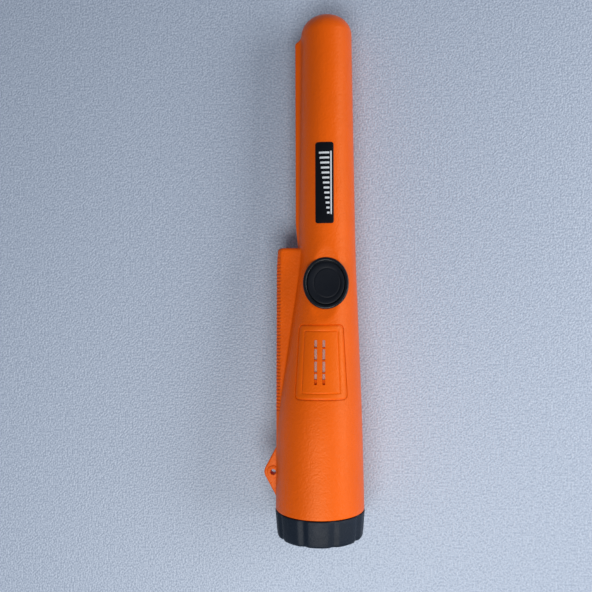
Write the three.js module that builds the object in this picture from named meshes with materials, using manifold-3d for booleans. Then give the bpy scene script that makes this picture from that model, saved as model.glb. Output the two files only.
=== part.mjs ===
// Waterproof hand-held pinpointer probe: a metal detector's short-range search wand.
// Millimetres, +Z up. The probe lies on its back with its button up and its tip towards +Y.
// Stations along the probe are measured from the battery cap's end face (y = 0) to the tip.
import * as THREE from "three";
import { mergeVertices } from "three/addons/utils/BufferGeometryUtils.js";
import Module from "manifold-3d";

const wasm = await Module();
wasm.setup();

// ---------------------------------------------------------------- driving dimensions
const LENGTH = 233.4; // over everything, cap to tip
const CAP_SEAM = 12; // where the orange housing meets the black cap
const DOME_START = 224.4; // where the tip's rounding starts
const DOME_FLAT = 1; // radius of the flat in the middle of the dome
const SHAFT_FOOT = 124; // where the slim search shaft starts to widen into the grip
const GRIP_START = 54; // where the grip reaches its full girth
const RADII = [[CAP_SEAM, 19.7], [GRIP_START, 18.8], [SHAFT_FOOT, 12.85], [DOME_START, 11.4]];
const OFFSETS = [[GRIP_START, -3.5], [SHAFT_FOOT, 0]]; // sideways shift of the grip's centre
const LIFT = 0.12; // the cap's lobes stand this far below the housing
const SOFTENING = 9; // half the length over which a change of slope is rounded
const WALL = 2.6;
const BAY_RADIUS = 15.7; // battery bay
const GAP = 0.3; // clearance between pieces that touch
const ROUND = 44; // facets round the housing

const CAP = { lobes: 9, radius: 19.85, rearRadius: 18.95, flute: 0.8, fluteShare: 0.34 };
const CAP_WALL = { chamfer: 1, rings: [0, 1, 6, CAP_SEAM - GAP], floor: 2.2 };
const THREAD = { neck: 16.9, crest: 17.6, capCrest: 17.35, capRoot: 17.9, lead: 3, start: 3.6, width: 1.3 };
const THREAD_TURNS = { neck: 1.75, cap: 1.25 };
const NECK_END = 2.5;
const BLOCK = { left: -22.6, front: 127.7, rear: 43, half: 6, edge: 1.4 }; // flashlight block
const BLADE = { left: -14.25, front: 222, rear: 128, half: 1.2 }; // scraping blade
const EYE = { out: -20.7, y: 28, radius: 4, hole: 1.2, half: 2.3, reach: 12.4 }; // lanyard eye
const COLLAR = { radius: 2.8, half: 2.7 }; // raised ring round the eye's hole
const BUTTON = { y: 111.6, halfX: 9.85, halfY: 11, ring: 1.6, proud: 1.7, stem: 4 };
const LANDING = { radius: 70, depth: 1.9 }; // thumb scoop round the button
const PANEL = { rear: 62.3, front: 93.9, width: 20, taper: 0.083, corner: 1.5 };
const PANEL_SKIN = { thick: 1.2, recess: 1.5, band: 1.95, groove: 0.85, grooveDepth: 0.3 };
const SLOT = { length: 19.2, width: 1.3, pitch: 3.5, middle: -0.6 };
const BAR = { count: 3, pitch: 5.3, width: 0.7, top: -0.95, bottom: -1.3, endWidth: 2.3 }; // across the slots
const LABEL = { rear: 137.8, front: 173.5, width: 8.1, corner: 1.1, x: -0.8 };
const FLASHLIGHT = { x: -17.5, z: 13.3, bore: 3.5 };
const BATTERY = { width: 26.5, depth: 17.5, length: 48.5, corner: 3, rear: 5.8, studPitch: 12.7 };
const BOARD = { x: -0.5, half: 7.3, rear: 66.5, front: 158, z: 16.2, thick: 1.6 };
const COIL = { core: 4.5, coreLength: 58, former: 6.2, winding: 7.6, flange: 8.1, rear: 163, front: 219 };
const MOTOR = { x: -1, y: 90, z: 8.6, radius: 3, length: 12, weight: 3.1 };

// ---------------------------------------------------------------- materials
const ORANGE = new THREE.MeshStandardMaterial({ color: 0xe8600c, roughness: 0.48 });
const BLACK = new THREE.MeshStandardMaterial({ color: 0x17191d, roughness: 0.45 });
const RUBBER = new THREE.MeshStandardMaterial({ color: 0x121417, roughness: 0.7 });
const STICKER = new THREE.MeshStandardMaterial({ color: 0x14161c, roughness: 0.3 });
const MEMBRANE = new THREE.MeshStandardMaterial({ color: 0xd9c9c6, roughness: 0.9 });
const CLEAR = new THREE.MeshStandardMaterial({ color: 0xdfe8ee, roughness: 0.08, transparent: true });
CLEAR.opacity = 0.4;
const FOAM = new THREE.MeshStandardMaterial({ color: 0x3a3b3e, roughness: 0.95 });
const NATURAL = new THREE.MeshStandardMaterial({ color: 0xd8d5c8, roughness: 0.6 });
const GREEN = new THREE.MeshStandardMaterial({ color: 0x1f6b3a, roughness: 0.4 });
const CHIP = new THREE.MeshStandardMaterial({ color: 0x1c1d20, roughness: 0.5 });
const STEEL = new THREE.MeshStandardMaterial({ color: 0xb9bcc0, roughness: 0.3, metalness: 1 });
const BRASS = new THREE.MeshStandardMaterial({ color: 0xc9a35a, roughness: 0.3, metalness: 1 });
const COPPER = new THREE.MeshStandardMaterial({ color: 0xb5653a, roughness: 0.35, metalness: 1 });
const FERRITE = new THREE.MeshStandardMaterial({ color: 0x2e2d2f, roughness: 0.75 });
const CELL = new THREE.MeshStandardMaterial({ color: 0x24406e, roughness: 0.35 });
const RED_WIRE = new THREE.MeshStandardMaterial({ color: 0xb3201c, roughness: 0.5 });
const BLACK_WIRE = new THREE.MeshStandardMaterial({ color: 0x18181a, roughness: 0.5 });

// ---------------------------------------------------------------- lines that shape the housing
// Straight lines through a list of [station, value] points, level beyond both ends.
function line(y, points) {
  if (y <= points[0][0]) return points[0][1];
  for (let i = 1; i < points.length; i++) {
    const [y0, v0] = points[i - 1];
    const [y1, v1] = points[i];
    if (y <= y1) return v0 + ((v1 - v0) * (y - y0)) / (y1 - y0);
  }
  return points.at(-1)[1];
}

// The same lines with their corners rounded by a running mean.
function softLine(y, points) {
  const samples = 9;
  let sum = 0;
  for (let i = 0; i < samples; i++) sum += line(y + SOFTENING * ((2 * i) / (samples - 1) - 1), points);
  return sum / samples;
}

// The stations that the long surfaces are built on: close together where a slope is rounded.
const STATIONS = [28];
for (const corner of [GRIP_START, SHAFT_FOOT]) {
  for (const step of [-9, -5, -1.7, 1.7, 5, 9]) STATIONS.push(corner + step);
  if (corner === GRIP_START) STATIONS.push(78, 93, 104);
}
STATIONS.push(160, 195, DOME_START);

const radiusAt = (y) => softLine(Math.max(y, CAP_SEAM), RADII);
const centreX = (y) => softLine(y, OFFSETS);
// The housing's underside is straight, so its centre rises as it widens.
const centreZ = (y) => radiusAt(y) + LIFT;
const GRIP_X = OFFSETS[0][1];
const GRIP_Z = centreZ(0);
const topAt = (y) => centreZ(y) + radiusAt(y);
const slopeAt = (y) => Math.atan((topAt(y + 5) - topAt(y - 5)) / 10);

// ---------------------------------------------------------------- solids
function toSolid(geometry) {
  const bare = new THREE.BufferGeometry();
  bare.setAttribute("position", geometry.getAttribute("position"));
  if (geometry.index) bare.setIndex(geometry.index);
  const merged = mergeVertices(bare, 1e-4);
  return new wasm.Manifold(
    new wasm.Mesh({
      numProp: 3,
      vertProperties: merged.attributes.position.array,
      triVerts: new Uint32Array(merged.index.array),
    }),
  );
}

function toGeometry(solid) {
  const mesh = solid.getMesh();
  const geometry = new THREE.BufferGeometry();
  geometry.setAttribute("position", new THREE.BufferAttribute(mesh.vertProperties, 3));
  geometry.setIndex(new THREE.BufferAttribute(mesh.triVerts, 1));
  geometry.computeVertexNormals();
  return geometry;
}

// Moves each vertex of a geometry by a function that changes a Vector3.
function warp(geometry, change) {
  const position = geometry.getAttribute("position");
  const v = new THREE.Vector3();
  for (let i = 0; i < position.count; i++) {
    v.fromBufferAttribute(position, i);
    change(v);
    position.setXYZ(i, v.x, v.y, v.z);
  }
  return geometry;
}

const onCentreLine = (v) => {
  v.x += centreX(v.y);
  v.z += centreZ(v.y);
};
const onCentreHeight = (v) => {
  v.z += centreZ(v.y);
};

// A solid of revolution about Y from [radius, y] pairs, which start and end on the axis.
function turned(profile, segments = 32) {
  return new THREE.LatheGeometry(profile.map(([r, y]) => new THREE.Vector2(r, y)), segments);
}

const rod = (radius, y0, y1, segments = 24) =>
  turned([[0, y0], [radius, y0], [radius, y1], [0, y1]], segments);

const tube = (inner, outer, y0, y1, segments = 32) =>
  turned([[inner, y0], [outer, y0], [outer, y1], [inner, y1], [inner, y0]], segments);

// An upright post: a rod or tube with its axis along Z.
const upright = (geometry) => geometry.rotateX(Math.PI / 2);

function block(x0, x1, y0, y1, z0, z1) {
  const box = new THREE.BoxGeometry(x1 - x0, y1 - y0, z1 - z0);
  return box.translate((x0 + x1) / 2, (y0 + y1) / 2, (z0 + z1) / 2);
}

function roundedRectangle(width, length, corner) {
  const x = width / 2;
  const y = length / 2;
  const shape = new THREE.Shape();
  shape.moveTo(-x + corner, -y);
  shape.lineTo(x - corner, -y);
  shape.absarc(x - corner, -y + corner, corner, -Math.PI / 2, 0);
  shape.lineTo(x, y - corner);
  shape.absarc(x - corner, y - corner, corner, 0, Math.PI / 2);
  shape.lineTo(-x + corner, y);
  shape.absarc(-x + corner, y - corner, corner, Math.PI / 2, Math.PI);
  shape.lineTo(-x, -y + corner);
  shape.absarc(-x + corner, -y + corner, corner, Math.PI, 1.5 * Math.PI);
  return shape;
}

const oval = (halfX, halfY) => new THREE.Shape().absellipse(0, 0, halfX, halfY, 0, 2 * Math.PI);

function prism(shape, z0, z1, curveSegments = 6) {
  const options = { depth: z1 - z0, bevelEnabled: false, curveSegments };
  return new THREE.ExtrudeGeometry(shape, options).translate(0, 0, z0);
}

// The frame of a fitting that sits on the top of the housing, square to the surface there.
function seatMatrix(y, x = centreX(y)) {
  const seat = new THREE.Matrix4().makeRotationX(slopeAt(y));
  return seat.setPosition(x, y, topAt(y));
}

// ---------------------------------------------------------------- housing
// The round body of the housing, grown or shrunk by an offset, from the seam to the tip.
function roundBody(grow, start = CAP_SEAM) {
  const profile = [[0, start], [radiusAt(start) + grow, start]];
  for (const y of STATIONS) profile.push([radiusAt(y) + grow, y]);
  const dome = radiusAt(DOME_START) - DOME_FLAT + grow;
  const height = LENGTH - DOME_START + grow;
  const steps = 7;
  for (let i = 1; i <= steps; i++) {
    const a = (i / steps) * (Math.PI / 2);
    profile.push([DOME_FLAT + dome * Math.cos(a), DOME_START + height * Math.sin(a)]);
  }
  profile.push([0, LENGTH + grow]);
  return toSolid(warp(turned(profile, ROUND), onCentreLine));
}

// The thumb scoop: a large cross-wise cylinder that dips into the top of the body.
function landingCutter(grow) {
  const { radius, depth } = LANDING;
  const cutter = rod(radius - grow, -30, 30, 72).rotateZ(Math.PI / 2).translate(0, 0, radius - depth);
  return toSolid(cutter.applyMatrix4(seatMatrix(BUTTON.y)));
}

const skin = (grow) => roundBody(grow).subtract(landingCutter(grow));

function flashlightBlock() {
  const { left, front, rear, half, edge } = BLOCK;
  const shape = new THREE.Shape();
  const stations = 8;
  shape.moveTo(-4, front);
  for (let i = 0; i <= stations; i++) shape.lineTo(left, front + ((rear - front) * i) / stations);
  shape.lineTo(-18, rear - 12);
  for (let i = stations; i > 0; i--) shape.lineTo(-4, front + ((rear - front) * i) / stations);
  const geometry = new THREE.ExtrudeGeometry(shape, {
    depth: 2 * (half - edge), bevelThickness: edge, bevelSize: edge, bevelOffset: -edge, bevelSegments: 2,
  });
  return toSolid(warp(geometry.translate(0, 0, edge - half), onCentreHeight));
}

function scrapingBlade() {
  const { left, front, rear, half } = BLADE;
  const shape = new THREE.Shape();
  const runout = 11; // the blade sinks back into the body over this length
  shape.moveTo(-6, front);
  shape.lineTo(left + 1.6, front);
  shape.lineTo(left, front - 1.8);
  for (let y = 210; y > rear + runout; y -= 18) shape.lineTo(left, y);
  shape.lineTo(left, rear + runout);
  shape.lineTo(left + 1.6, rear);
  for (let y = rear; y < front; y += 18) shape.lineTo(-6, y);
  return toSolid(warp(prism(shape, -half, half), onCentreHeight));
}

function lanyardEye() {
  const centre = GRIP_X + EYE.out;
  const foot = GRIP_X - 18.6;
  const lean = 0.5; // how far round the apex arc runs before it leaves on a straight
  const shape = new THREE.Shape();
  shape.moveTo(foot + 3, EYE.y + EYE.reach);
  shape.lineTo(foot, EYE.y + EYE.reach);
  shape.absarc(centre, EYE.y, EYE.radius, Math.PI - lean, Math.PI + lean);
  shape.lineTo(foot, EYE.y - EYE.reach);
  shape.lineTo(foot + 3, EYE.y - EYE.reach);
  const lug = toSolid(prism(shape, -EYE.half, EYE.half, 8));
  const collar = toSolid(upright(rod(COLLAR.radius, -COLLAR.half, COLLAR.half)).translate(centre, EYE.y, 0));
  return lug.add(collar).translate([0, 0, centreZ(EYE.y)]);
}

function cavity() {
  const profile = [[0, -1], [BAY_RADIUS, -1]];
  for (const y of STATIONS.slice(0, -1)) profile.push([Math.min(BAY_RADIUS, radiusAt(y) - WALL), y]);
  profile.push([radiusAt(222) - WALL, 222], [6, 230], [0, 231]);
  return toSolid(warp(turned(profile, 24), onCentreLine));
}

// A helical ridge round a neck: a straight bar, tapered towards its crest, then wound up.
function threadRidge(root, crest, start, turns) {
  const { lead, width } = THREAD;
  const bar = new THREE.BoxGeometry(turns, 1, 1, Math.round(turns * 24), 1, 1);
  return toSolid(warp(bar, (v) => {
    const share = v.x / turns; // -0.5 to 0.5 along the ridge
    const runIn = Math.min(1, (0.5 - Math.abs(share)) * 12 + 0.25);
    const atCrest = v.y > 0 === crest > root;
    const radius = v.y > 0 ? Math.max(root, crest) : Math.min(root, crest);
    const turn = (share + 0.5) * turns;
    const along = start + turn * lead - v.z * width * runIn * (atCrest ? 0.45 : 1);
    const angle = turn * 2 * Math.PI;
    v.set(radius * Math.sin(angle), along, radius * Math.cos(angle));
  }));
}

const panelMiddle = (PANEL.rear + PANEL.front) / 2;
const panelLength = (PANEL.front - PANEL.rear) / Math.cos(slopeAt(panelMiddle));

// A cutter with the speaker panel's outline, grown by an offset: a little wider at the rear.
function panelCutter(grow) {
  const shape = roundedRectangle(PANEL.width + 2 * grow, panelLength + 2 * grow, PANEL.corner);
  const cutter = warp(prism(shape, -9, 9, 3), (v) => {
    v.x *= 1 - (PANEL.taper * v.y) / (panelLength / 2);
  });
  return toSolid(cutter.applyMatrix4(seatMatrix(panelMiddle)));
}

function housingSolid() {
  const neck = toSolid(rod(THREAD.neck, NECK_END, CAP_SEAM + 1, ROUND));
  const thread = threadRidge(THREAD.neck - 0.4, THREAD.crest, THREAD.start, THREAD_TURNS.neck);
  const seat = seatMatrix(BUTTON.y);
  const stemHole = toSolid(prism(oval(6.4, 7.6), -9, 6, 10).applyMatrix4(seat));
  const window = prism(roundedRectangle(12, 25, 1.5), -9, 9, 2);
  const soundHole = toSolid(window.applyMatrix4(seatMatrix(panelMiddle)));
  const { x, z, bore } = FLASHLIGHT;
  const lampBore = toSolid(rod(bore, 86, BLOCK.front + 1).translate(x, 0, z));
  const hole = toSolid(upright(rod(EYE.hole, -9, 9)).translate(GRIP_X + EYE.out, EYE.y, centreZ(EYE.y)));
  return skin(0)
    .add(flashlightBlock())
    .add(scrapingBlade())
    .add(lanyardEye())
    .add(neck.add(thread).translate([GRIP_X, 0, GRIP_Z]))
    .subtract(cavity())
    .subtract(stemHole)
    .subtract(panelCutter(GAP).subtract(roundBody(-PANEL_SKIN.recess)))
    .subtract(soundHole)
    .subtract(lampBore)
    .subtract(hole);
}

// ---------------------------------------------------------------- speaker panel
// A thin curved insert with a fine square-cut frame line and two barred sound slots.
function speakerPanelSolid() {
  const rear = -SLOT.length / 2;
  const bars = [block(-4, 3, rear - 0.2, rear + BAR.endWidth, BAR.bottom, BAR.top)];
  for (let i = 0; i < BAR.count; i++) {
    const y = 0.9 + (i - (BAR.count - 1) / 2) * BAR.pitch;
    bars.push(block(-4, 3, y - BAR.width / 2, y + BAR.width / 2, BAR.bottom, BAR.top));
  }
  const slots = [-1, 1].map((side) => {
    const slot = prism(roundedRectangle(SLOT.width, SLOT.length, 0.3), -9, 9, 1);
    return slot.translate(SLOT.middle + (side * SLOT.pitch) / 2, 0, 0);
  });
  const seat = seatMatrix(panelMiddle);
  const { thick, band, groove, grooveDepth } = PANEL_SKIN;
  const frame = panelCutter(-band).subtract(panelCutter(-band - groove));
  let panel = panelCutter(0).intersect(roundBody(0)).subtract(roundBody(-thick));
  panel = panel.subtract(frame.subtract(roundBody(-grooveDepth)));
  for (const slot of slots) panel = panel.subtract(toSolid(slot.applyMatrix4(seat)));
  for (const bar of bars) panel = panel.add(toSolid(bar.applyMatrix4(seat)));
  return panel;
}

// ---------------------------------------------------------------- button
function buttonBezelSolid() {
  const { halfX, halfY, ring, proud } = BUTTON;
  const shape = oval(halfX, halfY);
  shape.holes.push(new THREE.Path().absellipse(0, 0, halfX - ring, halfY - ring, 0, 2 * Math.PI));
  const tall = toSolid(prism(shape, -9, proud - LANDING.depth, 12).applyMatrix4(seatMatrix(BUTTON.y)));
  return tall.subtract(skin(GAP));
}

// A dished rubber cap: a rolled rim, a fine valley and a finger disc, with a stem below.
function buttonCapGeometry() {
  const { halfX, halfY, ring, proud, stem } = BUTTON;
  const reach = halfX - ring - GAP;
  const top = proud - LANDING.depth - 0.25;
  const underside = [[0, -stem], [1.8, -stem], [1.8, -2], [5.6, -2], [5.6, -0.85], [reach, -0.75]];
  const rim = [[reach, top - 0.2], [reach - 0.5, top], [6.1, top - 0.12]];
  const disc = [[5.75, top - 0.28], [5.4, top - 0.16], [3, top - 0.3], [0, top - 0.36]];
  const profile = [...underside, ...rim, ...disc];
  const stretch = (halfY - ring - GAP) / reach;
  return upright(turned(profile, 32)).scale(1, stretch, 1);
}

// ---------------------------------------------------------------- battery cap
// A screw cap with broad grip lobes, a tapered skirt and an internal thread.
function lobedOutline() {
  const shape = new THREE.Shape();
  const pitch = (2 * Math.PI) / CAP.lobes;
  const perLobe = 7;
  for (let i = 0; i < CAP.lobes * perLobe; i++) {
    const angle = (i / perLobe) * pitch;
    const share = Math.abs(((i / perLobe + 0.5) % 1) - 0.5) * 2; // 0 on a lobe's crest, 1 in a flute
    const edge = 1 - CAP.fluteShare;
    const dip = share > edge ? Math.sin(((share - edge) / CAP.fluteShare) * (Math.PI / 2)) : 0;
    const radius = CAP.radius - CAP.flute * dip;
    const x = radius * Math.sin(angle);
    const y = -radius * Math.cos(angle);
    if (i === 0) shape.moveTo(x, y);
    else shape.lineTo(x, y);
  }
  return shape;
}

function batteryCapSolid() {
  const { chamfer, rings, floor } = CAP_WALL;
  const steps = rings.length - 1;
  const outside = new THREE.ExtrudeGeometry(lobedOutline(), { depth: steps, steps, bevelEnabled: false });
  outside.rotateX(-Math.PI / 2); // the depth now runs along +Y
  warp(outside, (v) => {
    const y = rings[Math.round(v.y)];
    const taper = CAP.rearRadius + ((CAP.radius - CAP.rearRadius) * y) / rings[steps];
    const shrink = (taper - Math.max(0, chamfer - y)) / CAP.radius;
    v.set(v.x * shrink, y, v.z * shrink);
  });
  const root = THREAD.capRoot;
  const hollow = toSolid(turned([
    [0, floor], [root, floor], [root, 9.9], [18.35, 10.2], [18.35, 20], [0, 20],
  ], ROUND));
  const thread = threadRidge(root + 0.3, THREAD.capCrest, THREAD.start + THREAD.lead / 2, THREAD_TURNS.cap);
  return toSolid(outside).subtract(hollow).add(thread);
}

// ---------------------------------------------------------------- wires
function wire(points, radius) {
  const path = new THREE.CatmullRomCurve3(points.map((p) => new THREE.Vector3(...p)));
  const section = new THREE.Shape().absarc(0, 0, radius, 0, 2 * Math.PI);
  const steps = 6 * (points.length - 1);
  const options = { steps, extrudePath: path, bevelEnabled: false, curveSegments: 4 };
  return new THREE.ExtrudeGeometry(section, options);
}

// ---------------------------------------------------------------- assembly
const probe = new THREE.Group();

function add(name, geometry, material, parent = probe) {
  const mesh = new THREE.Mesh(geometry, material);
  mesh.name = name;
  parent.add(mesh);
  return mesh;
}

function groupAt(x, y, z, tilt = 0) {
  const group = new THREE.Group();
  group.position.set(x, y, z);
  group.rotation.x = tilt;
  probe.add(group);
  return group;
}

function addShell() {
  add("housing", toGeometry(housingSolid()), ORANGE);
  add("speaker_panel", toGeometry(speakerPanelSolid()), ORANGE);
  const middle = (LABEL.rear + LABEL.front) / 2;
  const outline = prism(roundedRectangle(LABEL.width, LABEL.front - LABEL.rear, LABEL.corner), -6, 6, 3);
  const patch = toSolid(outline.applyMatrix4(seatMatrix(middle, LABEL.x)));
  add("label_plate", toGeometry(patch.intersect(roundBody(0.45).subtract(roundBody(0.15)))), STICKER);
}

function addButton() {
  add("button_bezel", toGeometry(buttonBezelSolid()), BLACK);
  const seat = groupAt(centreX(BUTTON.y), BUTTON.y, topAt(BUTTON.y), slopeAt(BUTTON.y));
  add("button_cap", buttonCapGeometry(), RUBBER, seat);
}

function addSwitch() {
  const top = BOARD.z + BOARD.thick;
  const group = groupAt(centreX(BUTTON.y), BUTTON.y, top + 0.1);
  const well = toSolid(upright(rod(1.8, 3.2, 9, 16)));
  add("tact_switch", toGeometry(toSolid(block(-3, 3, -3, 3, 0, 4.4)).subtract(well)), CHIP, group);
  add("switch_plunger", upright(rod(1.5, 4.2, 5.6, 16)), BLACK, group);
}

function addSounder() {
  const y = panelMiddle;
  const seat = groupAt(centreX(y), y, topAt(y), slopeAt(y));
  const outline = toSolid(prism(roundedRectangle(11.4, 22.6, 1), -9, 9, 3).applyMatrix4(seatMatrix(y)));
  const sheet = outline.intersect(roundBody(-1.45).subtract(roundBody(-1.75)));
  add("speaker_membrane", toGeometry(sheet), MEMBRANE);
  add("speaker_gasket", upright(tube(4.2, 5.4, -4.4, -3.1)), FOAM, seat);
  const drum = [[0, -8.4], [7.5, -8.4], [7.5, -5.1], [6.6, -4.7], [0, -4.7]];
  add("speaker", upright(turned(drum)), BRASS, seat);
}

function addFlashlight() {
  const group = groupAt(FLASHLIGHT.x, 0, FLASHLIGHT.z);
  const front = BLOCK.front;
  const window = [[0, -3.2], [3.2, -3.2], [3.2, -0.4], [2.4, 0.2], [0, 0.5]];
  add("flashlight_lens", turned(window, 28).translate(0, front, 0), CLEAR, group);
  const flange = [[0, front - 13], [2.9, front - 13], [2.9, front - 11.6]];
  const bulb = [...flange, [2.5, front - 11.6], [2.5, front - 6.5]];
  for (const a of [0.5, 1, 1.4]) bulb.push([2.5 * Math.cos(a), front - 6.5 + 2.5 * Math.sin(a)]);
  bulb.push([0, front - 4]);
  add("flashlight_led", turned(bulb, 20), CLEAR, group);
  add("led_collar", tube(2.8, 3.2, front - 11.3, front - 6.5, 24), RUBBER, group);
}

function addSearchCoil() {
  const group = groupAt(0, 0, centreZ(190));
  const { core, coreLength, former, winding, flange, rear, front } = COIL;
  const middle = (rear + front) / 2;
  add("ferrite_core", rod(core, middle - coreLength / 2, middle + coreLength / 2), FERRITE, group);
  const spool = turned([
    [core + GAP, rear], [flange, rear], [flange, rear + 1.5], [former, rear + 1.5],
    [former, front - 1.5], [flange, front - 1.5], [flange, front], [core + GAP, front],
    [core + GAP, rear],
  ]);
  add("coil_former", spool, NATURAL, group);
  add("search_coil", tube(former + 0.2, winding, rear + 1.8, front - 1.8), COPPER, group);
  const cushion = [[0, 1.9], [5.5, 1.9], [5.5, 5], [4.6, 8], [0, 8.6]];
  add("tip_cushion", turned(cushion, 24).translate(0, front, 0), FOAM, group);
}

function addElectronics() {
  const { x, half, rear, front, z, thick } = BOARD;
  const top = z + thick;
  add("main_board", block(x - half, x + half, rear, front, z, top), GREEN);
  const tray = toSolid(block(x - half - 0.6, x + half + 0.6, rear, front, z - 2.3, z - GAP));
  const wells = [[72, 96], [104, 122], [128, 152]];
  const well = ([a, b]) => toSolid(block(x - half + 2, x + half - 2, a, b, 0, 40));
  const frame = wells.reduce((rest, ends) => rest.subtract(well(ends)), tray);
  add("board_frame", toGeometry(frame), NATURAL);
  add("microcontroller", block(x - 4, x + 4, 128, 136, top + 0.1, top + 1.7), CHIP);
  add("amplifier_chip", block(x - 2, x + 2, 142, 147, top + 0.1, top + 1.6), CHIP);
  add("crystal", toGeometry(toSolid(block(x + 2.6, x + 6, 118.5, 124, top + 0.1, top + 2.6))), STEEL);
  for (const [i, [cx, cy]] of [[-4.3, 98], [2.2, 98], [-4.3, 90]].entries()) {
    const can = upright(turned([[0, 0.1], [2.5, 0.1], [2.5, 7], [2.2, 7.4], [0, 7.4]], 20));
    add("capacitor_" + (i + 1), can.translate(x + cx, cy, top), STEEL);
  }
  for (const [i, [sx, sy]] of [[-1, 70], [1, 70], [-1, 155], [1, 155]].entries()) {
    const head = turned([[0, 0.1], [1.6, 0.1], [1.6, 0.8], [1.1, 1.6], [0, 1.6]], 16);
    add("board_screw_" + (i + 1), upright(head).translate(x + sx * 5, sy, top), STEEL);
  }
}

function addMotor() {
  const { x, y, z, radius, length, weight } = MOTOR;
  const group = groupAt(x, y, z);
  add("motor_can", tube(0.8, radius, 0, length, 28), STEEL, group);
  const clip = toSolid(block(-4.2, 4.2, 2, 9, -4.3, 5)).subtract(toSolid(rod(radius + GAP, 1, 12)));
  add("motor_clip", toGeometry(clip), NATURAL, group);
  add("motor_shaft", rod(0.5, 1, length + 5.2, 12), STEEL, group);
  const disc = toSolid(rod(weight, length + 1.2, length + 4.8, 28));
  const half = disc.subtract(toSolid(block(-9, 9, 0, 30, 0.9, 9)));
  add("motor_weight", toGeometry(half.subtract(toSolid(rod(0.8, 0, 30, 12)))), BRASS, group);
}

function addBattery() {
  const { width, depth, length, corner, rear, studPitch } = BATTERY;
  const group = groupAt(GRIP_X, 0, GRIP_Z - 0.3);
  const front = rear + length;
  const can = prism(roundedRectangle(width, depth, corner), 0, length, 4).rotateX(-Math.PI / 2);
  add("battery", can.translate(0, rear, 0), CELL, group);
  const reach = studPitch / 2;
  add("battery_stud", rod(2.6, front + 0.2, front + 2.7, 20).translate(-reach, 0, 0), STEEL, group);
  add("battery_socket", tube(3.3, 4.4, front + 0.2, front + 2.7, 6).translate(reach, 0, 0), STEEL, group);
  add("contact_socket", tube(3.3, 4.3, front + 0.6, front + 3.3, 24).translate(-reach, 0, 0), STEEL, group);
  add("contact_stud", rod(2.5, front + 0.6, front + 3.3, 20).translate(reach, 0, 0), STEEL, group);
  const plate = toSolid(rod(14.8, front + 3.6, front + 5.6, 40));
  const notch = toSolid(block(-5, 5, front, front + 9, -16, -11));
  const bulkhead = toGeometry(plate.subtract(notch));
  add("battery_bulkhead", bulkhead, NATURAL, groupAt(centreX(front + 4.6), 0, centreZ(front + 4.6)));
  add("battery_pad", rod(14.4, CAP_WALL.floor + GAP, rear - GAP, 36), FOAM, group);
}

function addCap() {
  const group = groupAt(GRIP_X, 0, GRIP_Z);
  add("battery_cap", toGeometry(batteryCapSolid()), BLACK, group);
  const ring = new THREE.TorusGeometry(17.6, 0.45, 8, 36).rotateX(Math.PI / 2);
  add("cap_seal_ring", ring.translate(0, CAP_SEAM - 0.8, 0), RUBBER, group);
}

function addWires() {
  const bulkhead = BATTERY.rear + BATTERY.length + 6.6;
  const under = BOARD.z - 3.4;
  const leads = [["battery_lead_red", 1, RED_WIRE], ["battery_lead_black", -1, BLACK_WIRE]];
  for (const [name, side, material] of leads) {
    const x = GRIP_X + side * 6.3;
    const start = [[x, bulkhead, GRIP_Z], [x, 63, GRIP_Z - 3]];
    add(name, wire([...start, [x + 1, 65, under], [x + 1, 75, under - 1]], 0.6), material);
  }
  const height = centreZ(190);
  for (const [name, side] of [["coil_lead_start", -1], ["coil_lead_end", 1]]) {
    const x = side * 6.8;
    const run = [[x, 162.6, height], [x, 161, height + 1], [x * 0.8, 159.6, 17], [x * 0.6, 158.5, 17]];
    add(name, wire(run, 0.4), COPPER);
  }
}

addShell();
addButton();
addSwitch();
addSounder();
addFlashlight();
addSearchCoil();
addElectronics();
addMotor();
addBattery();
addCap();
addWires();

// The row's origin is under the middle of the probe's box, on the surface that it lies on.
const leftEdge = GRIP_X + EYE.out - EYE.radius;
const rightEdge = GRIP_X + CAP.radius;
probe.position.set(-(leftEdge + rightEdge) / 2, -LENGTH / 2, 0);
const part = new THREE.Group();
part.add(probe);

export default part;
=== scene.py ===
"""Looks of a waterproof hand-held pinpointer probe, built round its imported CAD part.

Shapes are worked out in millimetres in the probe's own frame: y = 0 at the battery cap's end face,
+Y towards the tip, +Z up out of the button, and x = 0 on the search shaft's axis.
"""

import math

import bmesh
import bpy
import numpy as np
from mathutils import Matrix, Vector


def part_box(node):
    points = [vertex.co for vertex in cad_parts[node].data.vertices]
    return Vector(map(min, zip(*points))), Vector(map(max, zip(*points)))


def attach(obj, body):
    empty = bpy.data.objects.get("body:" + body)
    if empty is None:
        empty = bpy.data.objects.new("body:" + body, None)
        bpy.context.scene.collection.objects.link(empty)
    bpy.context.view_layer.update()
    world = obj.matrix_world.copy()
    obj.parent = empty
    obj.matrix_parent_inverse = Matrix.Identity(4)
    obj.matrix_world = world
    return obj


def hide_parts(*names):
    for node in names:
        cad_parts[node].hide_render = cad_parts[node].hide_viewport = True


MM = 0.001

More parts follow.
